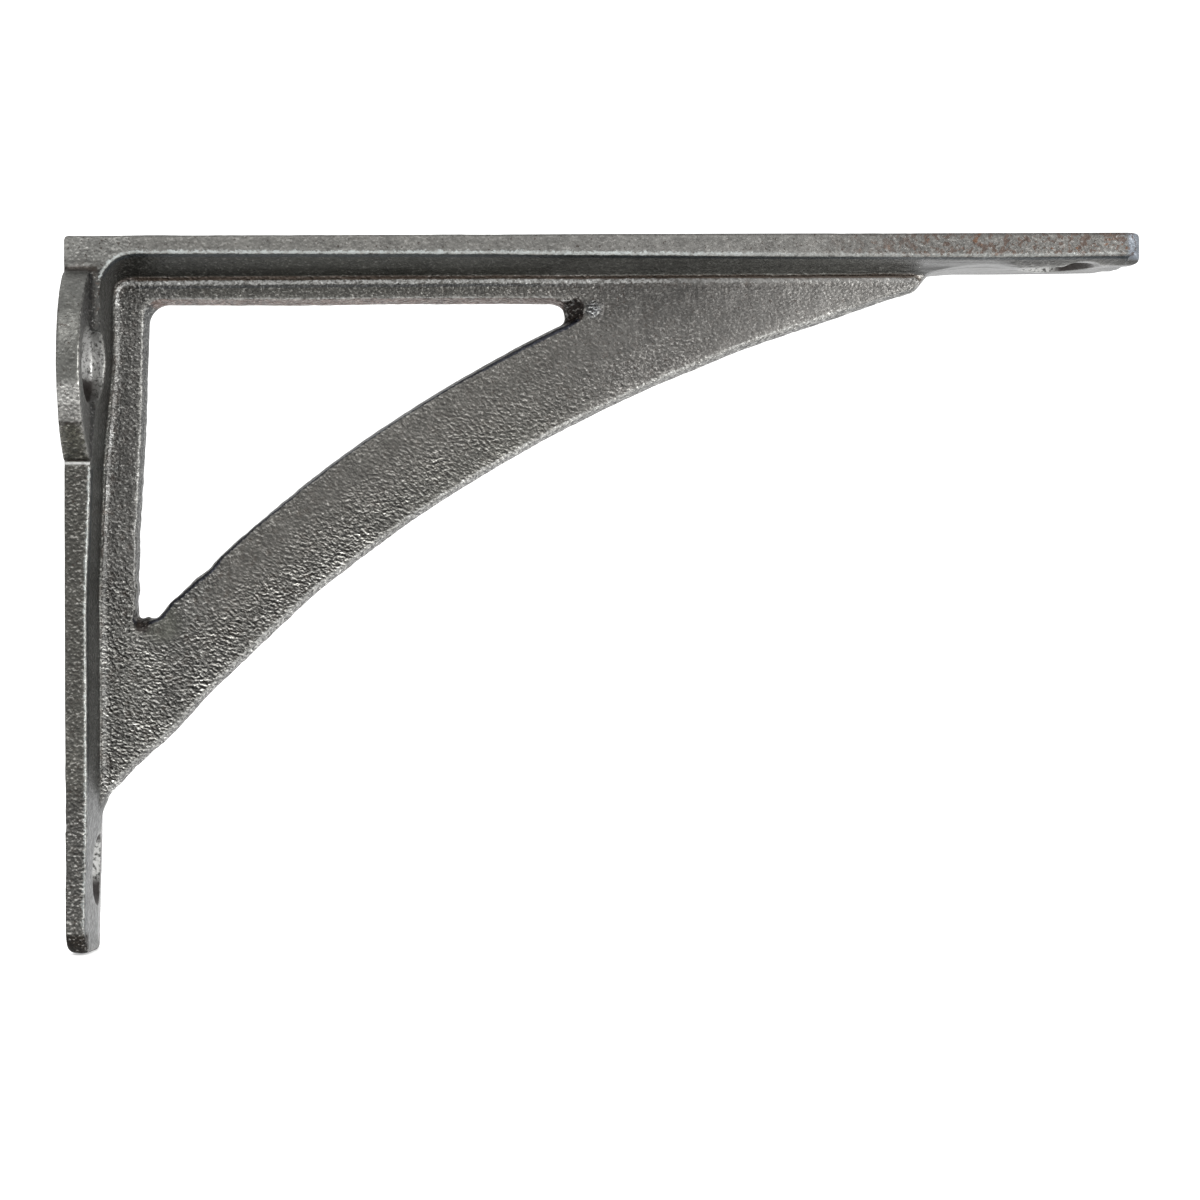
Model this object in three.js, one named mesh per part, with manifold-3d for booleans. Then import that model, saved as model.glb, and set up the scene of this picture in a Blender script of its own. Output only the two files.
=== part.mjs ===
// Cast iron shelf bracket, one casting. Millimetres, +Z up.
// X runs out from the wall, Y across the bracket and Z up. The origin is on the back of the wall
// plate, half way up and half way across.
import * as THREE from 'three';
import { mergeVertices } from 'three/addons/utils/BufferGeometryUtils.js';
import Module from 'manifold-3d';

// Driving dimensions
const projection = 152.8;
const height = 102;
const plateWidth = 20;
const outerCornerRadius = 0.6;
const endBow = 0.4;

// Shelf plate: thin at its edges and thick along its middle, more so near the wall
const shelfEdgeThicknessAtWall = 2.5;
const shelfEdgeThicknessAtTip = 3.05;
const shelfCrownRiseAtWall = 3.8;
const shelfCrownRiseAtTip = 2.2;
const tipCornerRadius = 1.6;

// Wall plate: the same section, with a rise that is low at the foot and swells beside the ears
const footEndThickness = 2.6;
const footEdgeThickness = 3.05;
const shoulderEdgeThickness = 3.75;
const headEdgeThickness = 5.1;
const footCrownRise = 0.85;
const footEndCrownRise = 0.7;
const wallCrownRise = 1.4;
const footCornerRadius = 2.5;
const footBackRadius = 1.1;
const footFrontRadius = 1;
const waistAboveFoot = 51;
const shoulderBelowTop = 32.4;
const headBelowTop = 18;
const wallBlendRadius = 24;

// Fillet between the two plates, wide at their edges and tight at the rib
const innerFilletAtEdge = 4.9;
const innerFilletAtCrown = 1.2;

// Ears beside the rib
const earRadius = 14.7;
const earSpan = 38.4;
const earBelowTop = 18.6;
const earRootThickness = 3.95;
const earEdgeThickness = 3.15;

// Screw holes: a countersink with a straight mouth above it
const screwBore = 5.5;
const screwMouth = 10.5;
const earHoleSpacing = 24;
const earHoleLand = 1.05;
const footHoleAboveFoot = 11.5;
const footHoleLand = 1.05;
const tipHoleFromTip = 10.1;
const tipHoleLand = 1.2;

// Seat ground flat under the tip, with the run-out that the wheel leaves beside the rib
const seatThicknessAtRib = 3.95;
const seatThicknessAtTip = 3.5;
const seatLength = 21.8;
const seatTipRadius = 0.7;
const seatRunOutRadius = 33;
const seatRunOutLength = 10.5;

// Rib: a brace under the shelf plate, with rails along both plates
const ribThickness = 5;
const partingLand = 0.4;
const ribDraft = 0.5;
const braceUnderRadius = 212.6;
const braceFlareAboveFoot = 50.95;
const braceFlareFromWall = 34.6;
const braceFlareRadius = 30;
const braceEndAboveFoot = 22.4;
const braceEndDepth = 2.2;
const braceEndRadius = 4.5;
const braceFootSweep = 580;
const braceRootBelowEnd = 4.5;
const braceRootDepth = 0.4;
const ribTipFromTip = 31.2;
const ribTipDepth = 7.05;
const ribTipSlope = 3.1;
const ribTipStraight = 14.1;
const ribTipRise = 4.95;
const ribTipBlendRadius = 12;
const ribEdgeRadius = 0.8;

// Opening in the rib: outlines on the rib's faces and at the parting line
const railDepth = { face: 8.2, parting: 8.8 };
const openingTopFromWall = { face: 10.6, parting: 11.35 };
const openingFootFromWall = { face: 8.8, parting: 9.15 };
const openingFootAboveFoot = { face: 43.7, parting: 44.65 };
const openingEndFromTip = { face: 78.7, parting: 81.6 };
const openingEndHeight = { face: 2.8, parting: 2.9 };
const openingTopCornerRadius = { face: 1.9, parting: 3 };
const openingFootCornerRadius = { face: 1.4, parting: 1.6 };
const openingEndCornerRadius = { face: 0.8, parting: 1.05 };
const braceUpperRadius = { face: 201, parting: 200.4 };

// Finish
const ironColour = 0x5d5a54;
const ironRoughness = 0.55;
const ironMetalness = 0.85;

// Fineness of the curves
const cornerSteps = 5;
const leastTurn = 0.01;
const sweepSteps = 28;
const holeSides = 48;
const earSides = 72;

const top = height / 2;
const foot = -height / 2;
const halfWidth = plateWidth / 2;
const overrun = 2;

const wasm = await Module();
wasm.setup();

// A closed solid from a geometry: corners merged, and triangles without area left out
function solidFrom(geometry) {
  const bare = new THREE.BufferGeometry();
  bare.setAttribute('position', geometry.getAttribute('position'));
  if (geometry.index) {
    bare.setIndex(geometry.index);
  }
  const merged = mergeVertices(bare);
  const corners = Array.from(merged.index.array);
  const kept = [];
  for (let i = 0; i < corners.length; i += 3) {
    const [a, b, c] = corners.slice(i, i + 3);
    if (a !== b && b !== c && c !== a) {
      kept.push(a, b, c);
    }
  }
  return new wasm.Manifold(new wasm.Mesh({
    numProp: 3,
    vertProperties: new Float32Array(merged.getAttribute('position').array),
    triVerts: new Uint32Array(kept),
  }));
}

function geometryFrom(solid) {
  const mesh = solid.getMesh();
  const geometry = new THREE.BufferGeometry();
  geometry.setAttribute('position', new THREE.BufferAttribute(mesh.vertProperties, 3));
  geometry.setIndex(new THREE.BufferAttribute(mesh.triVerts, 1));
  geometry.computeVertexNormals();
  return geometry;
}

// Points of an arc from one point to another, the first and the last included. A positive radius
// bulges to the right of the way from start to end, a negative one to the left.
function arcPoints(start, end, radius, steps) {
  const chord = end.clone().sub(start);
  const half = Math.asin(chord.length() / 2 / radius);
  const right = new THREE.Vector2(chord.y, -chord.x).normalize();
  const middle = start.clone().add(end).multiplyScalar(0.5);
  const centre = middle.clone().addScaledVector(right, -radius * Math.cos(half));
  const points = [];
  for (let i = 0; i <= steps; i++) {
    points.push(start.clone().rotateAround(centre, 2 * half * i / steps));
  }
  return points;
}

// A closed outline in the XZ plane, anticlockwise seen along +Y. Each corner is rounded by its
// radius, and the side that follows it is straight, or an arc where the corner gives a sweep.
function outline(corners) {
  const places = corners.map(corner => new THREE.Vector2(corner.x, corner.z));
  const sides = corners.map((corner, i) => {
    const chord = places[(i + 1) % places.length].clone().sub(places[i]);
    const bend = corner.sweep ? Math.asin(chord.length() / 2 / corner.sweep) : 0;
    const origin = new THREE.Vector2();
    chord.normalize();
    return {
      leaving: chord.clone().rotateAround(origin, -bend),
      arriving: chord.clone().rotateAround(origin, bend),
    };
  });
  const rounded = corners.map((corner, i) => {
    const arriving = sides[(i + sides.length - 1) % sides.length].arriving;
    const leaving = sides[i].leaving;
    const turn = Math.atan2(arriving.cross(leaving), arriving.dot(leaving));
    const side = turn < 0 ? -1 : 1;
    const reach = corner.radius * Math.tan(Math.max(Math.abs(turn), leastTurn) / 2);
    const start = places[i].clone().addScaledVector(arriving, -reach);
    const end = places[i].clone().addScaledVector(leaving, reach);
    const radius = start.distanceTo(end) / 2 / Math.sin(Math.max(Math.abs(turn), leastTurn) / 2);
    return arcPoints(start, end, side * radius, cornerSteps);
  });
  const points = [];
  corners.forEach((corner, i) => {
    points.push(...rounded[i]);
    if (corner.sweep) {
      const next = rounded[(i + 1) % rounded.length][0];
      const swept = arcPoints(rounded[i][cornerSteps], next, corner.sweep, sweepSteps);
      points.push(...swept.slice(1, -1));
    }
  });
  return points;
}

// The outline moved inwards by a distance, each point square to its neighbours
function inset(points, distance) {
  return points.map((point, i) => {
    const before = points[(i + points.length - 1) % points.length];
    const after = points[(i + 1) % points.length];
    const along = after.clone().sub(before).normalize();
    return new THREE.Vector2(point.x - along.y * distance, point.y + along.x * distance);
  });
}

// A solid through outlines that have equally many points, from the lowest Y to the highest
function loft(sections) {
  const count = sections[0].points.length;
  const positions = sections.flatMap(({ y, points }) => points.flatMap(point => [point.x, y, point.y]));
  const indices = [];
  const cap = section => THREE.ShapeUtils.triangulateShape(section.points, []);
  cap(sections[0]).forEach(([a, b, c]) => indices.push(a, b, c));
  for (let section = 0; section < sections.length - 1; section++) {
    for (let i = 0; i < count; i++) {
      const near = section * count + i;
      const nearNext = section * count + (i + 1) % count;
      indices.push(near, near + count, nearNext);
      indices.push(nearNext, near + count, nearNext + count);
    }
  }
  const last = (sections.length - 1) * count;
  cap(sections[sections.length - 1]).forEach(([a, b, c]) => indices.push(last + c, last + b, last + a));
  const geometry = new THREE.BufferGeometry();
  geometry.setAttribute('position', new THREE.Float32BufferAttribute(positions, 3));
  geometry.setIndex(indices);
  return solidFrom(geometry);
}

function mirrored(sections) {
  const far = sections.filter(section => section.y > 0);
  const near = far.map(section => ({ y: -section.y, points: section.points })).reverse();
  return [...near, ...sections.filter(section => section.y === 0), ...far];
}

// How far the bow and the rounded corner pull the end of a plate back at a distance y from the middle
function endPullBack(y, radius) {
  const past = Math.max(y - (halfWidth - radius), 0);
  const corner = radius - Math.sqrt(Math.max(radius * radius - past * past, 0));
  return corner + endBow * (y / halfWidth) ** 2;
}

// Both plates cut square to Y at a distance y from the middle, where they are thinner by the draft
function platesAt(y) {
  const share = 1 - y / halfWidth;
  const tip = projection - endPullBack(y, tipCornerRadius);
  const footEnd = foot + endPullBack(y, footCornerRadius);
  const footEndFront = footEndThickness + footEndCrownRise * share;
  const footFront = footEdgeThickness + footCrownRise * share;
  const waistFront = footEdgeThickness + wallCrownRise * share;
  const shoulderFront = shoulderEdgeThickness + wallCrownRise * share;
  const headFront = headEdgeThickness + wallCrownRise * share;
  const fillet = innerFilletAtEdge + (innerFilletAtCrown - innerFilletAtEdge) * share;
  const underAtWall = top - shelfEdgeThicknessAtWall - shelfCrownRiseAtWall * share;
  const underAtTip = top - shelfEdgeThicknessAtTip - shelfCrownRiseAtTip * share;
  const waist = foot + waistAboveFoot;
  const braceFoot = foot + footHoleAboveFoot + screwMouth / 2;
  return outline([
    { x: 0, z: footEnd, radius: footBackRadius },
    { x: footEndFront, z: footEnd, radius: footFrontRadius },
    { x: footFront, z: braceFoot, radius: wallBlendRadius },
    { x: waistFront, z: foot + braceEndAboveFoot, radius: wallBlendRadius },
    { x: waistFront, z: waist, radius: wallBlendRadius },
    { x: shoulderFront, z: top - shoulderBelowTop, radius: wallBlendRadius },
    { x: headFront, z: top - headBelowTop, radius: wallBlendRadius },
    { x: headFront, z: underAtWall, radius: fillet },
    { x: tip, z: underAtTip, radius: outerCornerRadius },
    { x: tip, z: top, radius: outerCornerRadius },
    { x: 0, z: top, radius: outerCornerRadius },
  ]);
}

function makePlates() {
  const stations = [0, halfWidth / 2, halfWidth - footCornerRadius];
  for (let i = 1; i <= cornerSteps; i++) {
    stations.push(halfWidth - footCornerRadius * (1 - Math.sin(Math.PI / 2 * i / cornerSteps)));
  }
  return loft(mirrored(stations.map(y => ({ y, points: platesAt(y) }))));
}

// A round lobe on one side of the wall plate, thinner towards its rim
function makeEar(side) {
  const centreZ = top - earBelowTop;
  const rim = earSpan / 2;
  const root = halfWidth - overrun;
  const slab = [[root, earRootThickness], [rim + overrun, earEdgeThickness]].map(([y, front]) => ({
    y: y * side,
    points: [
      new THREE.Vector2(0, centreZ - earRadius - overrun),
      new THREE.Vector2(front, centreZ - earRadius - overrun),
      new THREE.Vector2(front, centreZ + earRadius + overrun),
      new THREE.Vector2(0, centreZ + earRadius + overrun),
    ],
  }));
  slab.sort((a, b) => a.y - b.y);
  const depth = 2 * (earRootThickness + overrun);
  const round = new THREE.CylinderGeometry(earRadius, earRadius, depth, earSides);
  round.rotateZ(Math.PI / 2);
  round.translate(0, side * (rim - earRadius), centreZ);
  return loft(slab).intersect(solidFrom(round));
}

// The brace and both rails, full at the parting line and narrower on the faces by the draft
function makeRib() {
  const embed = footEdgeThickness / 2;
  const braceEnd = foot + braceEndAboveFoot;
  const rootEnd = braceEnd - braceRootBelowEnd;
  const ribTip = projection - ribTipFromTip;
  const tipUnder = top - ribTipDepth;
  const tipTop = top - shelfEdgeThicknessAtTip;
  const tipLean = ribTipSlope / (ribTipDepth - seatThicknessAtRib);
  const full = outline([
    { x: embed, z: rootEnd, radius: ribEdgeRadius },
    { x: footEdgeThickness + braceRootDepth, z: rootEnd, radius: ribEdgeRadius },
    {
      x: footEdgeThickness + braceEndDepth,
      z: braceEnd,
      radius: braceEndRadius,
      sweep: -braceFootSweep,
    },
    {
      x: braceFlareFromWall,
      z: foot + braceFlareAboveFoot,
      radius: braceFlareRadius,
      sweep: -braceUnderRadius,
    },
    { x: ribTip - ribTipStraight, z: tipUnder - ribTipRise, radius: ribTipBlendRadius },
    { x: ribTip, z: tipUnder, radius: ribEdgeRadius },
    { x: ribTip + tipLean * (tipTop - tipUnder), z: tipTop, radius: ribEdgeRadius },
    { x: embed, z: tipTop, radius: ribEdgeRadius },
  ]);
  const faces = inset(full, ribDraft);
  return loft(mirrored([
    { y: partingLand / 2, points: full },
    { y: ribThickness / 2, points: faces },
  ]));
}

// The opening at one level: on the rib's faces or at the parting line
function openingAt(level) {
  const end = projection - openingEndFromTip[level];
  const openingTop = top - railDepth[level];
  const endRadius = openingEndCornerRadius[level];
  return outline([
    {
      x: openingFootFromWall[level],
      z: foot + openingFootAboveFoot[level],
      radius: openingFootCornerRadius[level],
      sweep: -braceUpperRadius[level],
    },
    { x: end, z: openingTop - openingEndHeight[level], radius: endRadius },
    { x: end, z: openingTop, radius: endRadius },
    { x: openingTopFromWall[level], z: openingTop, radius: openingTopCornerRadius[level] },
  ]);
}

function makeOpening() {
  const face = openingAt('face');
  const parting = openingAt('parting');
  return loft(mirrored([
    { y: partingLand / 2, points: parting },
    { y: ribThickness / 2, points: face },
    { y: ribThickness / 2 + overrun, points: face },
  ]));
}

// What the wheel takes off under the tip: a flat that rises to the tip, and its run-out
function makeSeatCut() {
  const seatStart = projection - seatLength;
  const runOutStart = seatStart - seatRunOutLength;
  const seatRoot = top - seatThicknessAtRib;
  const seatTip = top - seatThicknessAtTip;
  const drop = seatRunOutRadius - Math.sqrt(seatRunOutRadius ** 2 - seatRunOutLength ** 2);
  const low = top - ribTipDepth - overrun;
  const end = projection + overrun;
  const rounding = arcPoints(
    new THREE.Vector2(projection, seatTip + seatTipRadius),
    new THREE.Vector2(projection - seatTipRadius, seatTip),
    -seatTipRadius,
    cornerSteps,
  );
  const runOut = arcPoints(
    new THREE.Vector2(seatStart, seatRoot),
    new THREE.Vector2(runOutStart, seatRoot - drop),
    seatRunOutRadius,
    cornerSteps,
  );
  const points = [
    new THREE.Vector2(runOutStart, low),
    new THREE.Vector2(end, low),
    new THREE.Vector2(end, seatTip + seatTipRadius),
    ...rounding,
    ...runOut,
  ];
  return loft([{ y: -halfWidth - overrun, points }, { y: halfWidth + overrun, points }]);
}

// A screw hole along +Z from the origin: bore, countersink at 90 degrees, and straight mouth
function makeScrewHole(land) {
  const bore = screwBore / 2;
  const mouth = screwMouth / 2;
  const countersinkTop = land + mouth - bore;
  const profile = [
    new THREE.Vector2(0, -overrun),
    new THREE.Vector2(bore, -overrun),
    new THREE.Vector2(bore, land),
    new THREE.Vector2(mouth, countersinkTop),
    new THREE.Vector2(mouth, countersinkTop + headEdgeThickness),
    new THREE.Vector2(0, countersinkTop + headEdgeThickness),
  ];
  const hole = new THREE.LatheGeometry(profile, holeSides);
  hole.rotateX(Math.PI / 2);
  return hole;
}

function makeScrewHoles() {
  const holes = [];
  for (const side of [-1, 1]) {
    const hole = makeScrewHole(earHoleLand);
    hole.rotateY(Math.PI / 2);
    hole.translate(0, side * earHoleSpacing / 2, top - earBelowTop);
    holes.push(hole);
  }
  const footHole = makeScrewHole(footHoleLand);
  footHole.rotateY(Math.PI / 2);
  footHole.translate(0, 0, foot + footHoleAboveFoot);
  holes.push(footHole);
  const tipHole = makeScrewHole(tipHoleLand);
  tipHole.rotateX(Math.PI);
  tipHole.translate(projection - tipHoleFromTip, 0, top);
  holes.push(tipHole);
  return holes.map(solidFrom);
}

let casting = makePlates().subtract(makeSeatCut());
casting = casting.add(makeRib().subtract(makeOpening()));
casting = casting.add(makeEar(-1)).add(makeEar(1));
for (const hole of makeScrewHoles()) {
  casting = casting.subtract(hole);
}

const iron = new THREE.MeshStandardMaterial({
  color: ironColour,
  roughness: ironRoughness,
  metalness: ironMetalness,
});
const bracket = new THREE.Mesh(geometryFrom(casting), iron);
bracket.name = 'bracket';

const group = new THREE.Group();
group.add(bracket);

export default group;
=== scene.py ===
import bmesh
import bpy
import math
import numpy as np
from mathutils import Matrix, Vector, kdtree, noise


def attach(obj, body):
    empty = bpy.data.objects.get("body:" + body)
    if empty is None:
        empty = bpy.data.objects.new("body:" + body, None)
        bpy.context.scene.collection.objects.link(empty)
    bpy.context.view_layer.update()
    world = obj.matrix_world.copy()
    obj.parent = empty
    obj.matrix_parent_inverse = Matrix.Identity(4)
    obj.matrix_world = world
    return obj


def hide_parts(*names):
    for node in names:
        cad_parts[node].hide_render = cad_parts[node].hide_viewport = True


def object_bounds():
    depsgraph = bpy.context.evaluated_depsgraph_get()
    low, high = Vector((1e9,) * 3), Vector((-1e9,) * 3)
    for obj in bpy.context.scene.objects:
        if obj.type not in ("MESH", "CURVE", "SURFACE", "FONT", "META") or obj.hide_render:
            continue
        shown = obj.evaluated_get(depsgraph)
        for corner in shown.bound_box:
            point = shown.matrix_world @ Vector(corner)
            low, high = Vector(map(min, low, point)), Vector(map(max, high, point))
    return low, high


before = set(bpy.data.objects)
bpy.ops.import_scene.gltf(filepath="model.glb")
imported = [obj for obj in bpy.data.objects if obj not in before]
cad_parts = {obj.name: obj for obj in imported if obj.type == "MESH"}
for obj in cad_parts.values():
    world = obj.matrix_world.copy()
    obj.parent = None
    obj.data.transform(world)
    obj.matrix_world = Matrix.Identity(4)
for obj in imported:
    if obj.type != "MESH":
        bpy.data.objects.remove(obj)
cad_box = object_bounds()
scene = bpy.context.scene


# The view: square to the bracket's side, the lens a little below the opening's lower corner and
# nearer the wall plate than the tip, so the undersides of both plates just show.
view = bpy.data.cameras.new("view")
view.sensor_fit = "HORIZONTAL"
view.sensor_width = 36
view.lens = 90.145
view.shift_x = 0.12905
view.shift_y = 0.04202
view.clip_start = 0.01
camera = bpy.data.objects.new("camera", view)
camera.location = (0.05382, -0.435, -0.00789)
camera.rotation_euler = (math.radians(90), math.radians(0.156), 0)
scene.collection.objects.link(camera)
scene.camera = camera


# The casting: grey iron poured in a sand mould, two plates and two ears with a rib between.
# It is left as it came from the sand, with its edges fettled, the seat under the tip ground
# flat and four screw holes countersunk.

# Sizes are in millimetres until the mesh is finished. x runs out from the wall, y across and
# z up, from the middle of the wall plate's back.
per_metre = 1000
top = 51
projection = 152.8
half_width = 10
rib_half = 2.5
wall_front = 3.5
seat_start = projection - 21.8
run_out_start = seat_start - 12
run_out_full = seat_start - 9
seat_under = top - 3.6
ear_hole_across = 12
ear_middle = top - 18.6
foot_hole = -top + 11.5
tip_hole = projection - 10.1
mouth_radius = 5.25
screw_holes = {
    "ear_near": ((wall_front, -ear_hole_across, ear_middle), (1, 0, 0)),
    "ear_far": ((wall_front, ear_hole_across, ear_middle), (1, 0, 0)),
    "foot": ((wall_front, 0, foot_hole), (1, 0, 0)),
    "tip": ((tip_hole, 0, seat_under), (0, 0, -1)),
}


def finish_modifiers(piece):
    """The piece keeps the shape that its modifiers give it, as its own mesh."""
    shaped = piece.evaluated_get(bpy.context.evaluated_depsgraph_get())
    mesh = bpy.data.meshes.new_from_object(shaped)
    piece.modifiers.clear()
    piece.data = mesh
    return mesh


def read_places():
    """Where the vertices of the casting's mesh lie."""
    places = np.empty(len(casting_mesh.vertices) * 3, np.float32)
    casting_mesh.vertices.foreach_get("co", places)
    return places.reshape(-1, 3).astype(float)


casting_form = bmesh.new()
casting_form.from_mesh(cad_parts["bracket"].data)
bmesh.ops.remove_doubles(casting_form, verts=casting_form.verts, dist=1e-6)
bmesh.ops.scale(casting_form, vec=(per_metre,) * 3, verts=casting_form.verts)
casting_mesh = bpy.data.meshes.new("casting")
casting_form.to_mesh(casting_mesh)
casting_form.free()
casting = bpy.data.objects.new("casting", casting_mesh)
scene.collection.objects.link(casting)
even = casting.modifiers.new("even", "REMESH")
even.mode = "VOXEL"
even.voxel_size = 0.22
casting_mesh = finish_modifiers(casting)

count = len(casting_mesh.vertices)
place = read_places()
ends = np.empty(len(casting_mesh.edges) * 2, np.int32)
casting_mesh.edges.foreach_get("vertices", ends)
ends = ends.reshape(-1, 2)
neighbours = np.bincount(ends.ravel(), minlength=count)


def round_about(values):
    """The mean of each vertex's neighbours."""
    columns = values.reshape(count, -1).T
    sums = [
        np.bincount(ends[:, 0], column[ends[:, 1]], count)
        + np.bincount(ends[:, 1], column[ends[:, 0]], count)
        for column in columns
    ]
    return (np.stack(sums, 1) / neighbours[:, None]).reshape(values.shape)


def outward():
    """The casting's vertex normals as its vertices now lie."""
    casting_mesh.vertices.foreach_set("co", place.astype(np.float32).ravel())
    casting_mesh.update()
    normals = np.empty(count * 3, np.float32)
    casting_mesh.vertices.foreach_get("normal", normals)
    return normals.reshape(-1, 3).astype(float)


def lumps(size, seed):
    """Smooth noise from about -1 to 1, with lumps of a size in millimetres."""
    points = place / size + seed
    return np.array([noise.noise(point) for point in points.tolist()]) * 1.6


def fade(value, none, full):
    """0 where the value is at none, 1 where it is at full, and smooth between."""
    share = np.clip((value - none) / (full - none), 0, 1)
    return share * share * (3 - 2 * share)


def from_hole(name):
    """Each vertex's offset from a screw hole's mouth, its depth along the hole and its radius."""
    middle, axis = screw_holes[name]
    offset = place - np.array(middle)
    along = offset @ np.array(axis)
    radius = np.linalg.norm(offset - along[:, None] * np.array(axis), axis=1)
    return offset, along, radius


def near_hole(name):
    """1 beside a screw hole's rim, 0 further than a rim's width from it."""
    _, along, radius = from_hole(name)
    rim_width, hole_length = 1.2, 6
    return fade(radius, mouth_radius + rim_width, mouth_radius) * (np.abs(along) < hole_length)


def move_in_plane(amount):
    """Moves the rib's outline in its own plane, square to itself, and leaves its faces alone."""
    normal = outward()
    reach = amount * (np.abs(place[:, 1]) < rib_half + 0.6)
    place[:, 0] += normal[:, 0] * reach
    place[:, 2] += normal[:, 2] * reach


# Soft edges, and the small fillets that the pattern had along the roots of the rib and ears
for _ in range(2):
    place += 0.5 * (round_about(place) - place)
normal = outward()
sharp_hollow = 0.012
hollow = np.clip(((round_about(place) - place) * normal).sum(1) / sharp_hollow, 0, 1)
x, y, z = place.T
seat = fade(x, run_out_start, seat_start - 8) * fade(z, 40, 42) * (np.abs(y) > rib_half)
dressed = np.maximum.reduce([near_hole(name) for name in screw_holes])
hollow *= (1 - dressed) * (1 - fade(x, run_out_start, run_out_full))
root = hollow.copy()
for _ in range(8):
    root = round_about(root)
root = np.clip(root * 4, 0, 1)
for _ in range(34):
    place += root[:, None] * 0.8 * (round_about(place) - place)

# The brace is a little deep along its lower edge, most towards the tip
brace_fullness = np.interp(
    x, (14, 24, 32, 50, 56, 84, 92, 110, 118), (0, 0.12, 0, -0.04, 0.1, 0.1, 0.26, 0.22, 0.05)
)
brace_lower_edge = (outward()[:, 2] < -0.3) * (z < 46.6 - 0.05 * x)
move_in_plane(brace_fullness * fade(z + 0.12 * x, 47, 43) * brace_lower_edge)

# The mould was rapped and patched by hand, so the outline wanders: the rails swell, and the
# lower corner of the opening was cut square. Each is x, z, reach, amount.
wanders = (
    (15.6, -20.2, 8, 0.5),
    (120.8, 44.6, 3.5, 0.25),
    (71.3, 42.5, 2.3, 0.45),
    (9.2, -1.8, 1.6, 0.25),
    (11, 24, 12, 0.2),
    (9.2, 9.5, 3.5, -0.12),
    (9, 0.9, 2.4, 0.3),
    (10.9, -4.1, 2.2, 0.85),
    (14.6, -1.2, 2, 0.25),
    (20.3, 3.2, 3, -0.4),
    (33, 42.4, 16, 0.15),
)
for spot_x, spot_z, reach, amount in wanders:
    move_in_plane(amount * fade(np.hypot(x - spot_x, z - spot_z), reach, 0))


def edge_fullness():
    """How much fuller the shelf's long edges are: most before the seat, less at the tip."""
    return np.interp(place[:, 0], (0, 61, 83, 120, 134, 150), (0, 0.03, 0.15, 0.36, 0.38, 0.1))


def crown():
    """How much deeper the shelf is along its middle than at its edges."""
    return 3.8 - 1.6 * place[:, 0] / projection


added = edge_fullness() * fade(np.abs(y), 5, 9.5) * fade(z, 50.3, 48.9)
place[:, 2] -= added * (z > 44) * (x > 14)

# A nick in the back edge above the foot, and the foot's front corner, which the mould filled well
nick = fade(np.linalg.norm(place - (0, -half_width, -32.8), axis=1), 0.8, 0.2)
place[:, 0] += 0.35 * nick
place[:, 0] += 0.3 * fade(np.hypot(x - 3.6, z + 50.4), 1.6, 0.3)
place[:, 2] -= 0.3 * fade(np.hypot(x - 3.2, z + 50.6), 1.8, 0.3)

# The wheel took less off the seat's near side than off its far corner, and nothing was left
# proud where the countersink runs into the near edge
strip_under = top - 2.9 - 0.55 * x / projection - crown() * (1 - np.abs(y) / half_width)
left_on = np.minimum(0.6 * fade(y, 3, -6), np.maximum(z - strip_under, 0))
left_on *= fade(np.hypot(x - tip_hole - 2.4, 0.7 * (y + 4)), 2.0, 3.2)
left_on *= fade(x, seat_start, seat_start + 6)
place[:, 2] -= left_on * fade(z, 49.4, 48.2) * fade(np.abs(y), 9.9, 9.3)
place[:, 2] += 0.25 * fade(y, 4.5, 7.5) * fade(x, 149, 151) * fade(z, 49.4, 48.2)


def plate_edges():
    """How far forward the wall plate's narrow sides reach, and how far down those of the shelf."""
    front = np.interp(place[:, 2], (-48.1, -34.25, 0, 18.6, 33), (2.6, 3.05, 3.05, 3.75, 5.1))
    return front, top - 2.5 - 0.55 * place[:, 0] / projection - edge_fullness()


def past_root():
    """How far each vertex stands out from the plates where the rib grows out of them."""
    x, y, z = place.T
    swollen = np.maximum(1 - np.abs(y) / half_width, 0.75)
    front, under = plate_edges()
    front = front + swollen * np.interp(z, (-36, -28), (0.85, 1.4))
    under = under - swollen * crown()
    past = np.minimum(under - z, x - front)
    corner_x, corner_z, corner_radius = 8.3, 43.6, 2.1
    in_corner = (x < corner_x) & (z > corner_z)
    return np.where(in_corner, corner_radius - np.hypot(x - corner_x, z - corner_z), past)


# How coarse the sand left the skin: most on the brace's foot and lower edge and the foot's sides
across = np.abs(y)
rib = fade(across, rib_half + 0.9, rib_half + 0.2)
rib *= np.maximum(fade(past_root(), 0.2, 0.7), fade(np.abs(outward()[:, 1]), 0.1, 0.35))
plate_side = fade(across, half_width - 0.5, half_width - 0.15)
coarse_side = 0.1 + 0.25 * fade(z, 20, 5) + 0.4 * fade(z, -15, -34)
coarse = 0.1 + rib * (0.3 + 0.6 * fade(z + 0.35 * x, 42, 12))
coarse = np.maximum(coarse, plate_side * coarse_side)
coarse *= 1 - dressed

# The sand's own unevenness
normal = outward()
swell = 0.045 * lumps(17, 3.1) + 0.03 * lumps(6.3, 7.7)
sand = 0.05 * lumps(2.1, 1.3) + 0.045 * lumps(0.95, 5.9)
held = np.maximum(dressed, seat)
place += normal * (swell + sand * (0.2 + 0.9 * coarse))[:, None] * (1 - 0.85 * held)[:, None]

# Nothing stands outside the outline of the pattern
hair = 0.01
box_low = np.array(cad_box[0]) * per_metre
box_high = np.array(cad_box[1]) * per_metre
place = np.clip(place, box_low + hair, box_high - hair)

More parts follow.
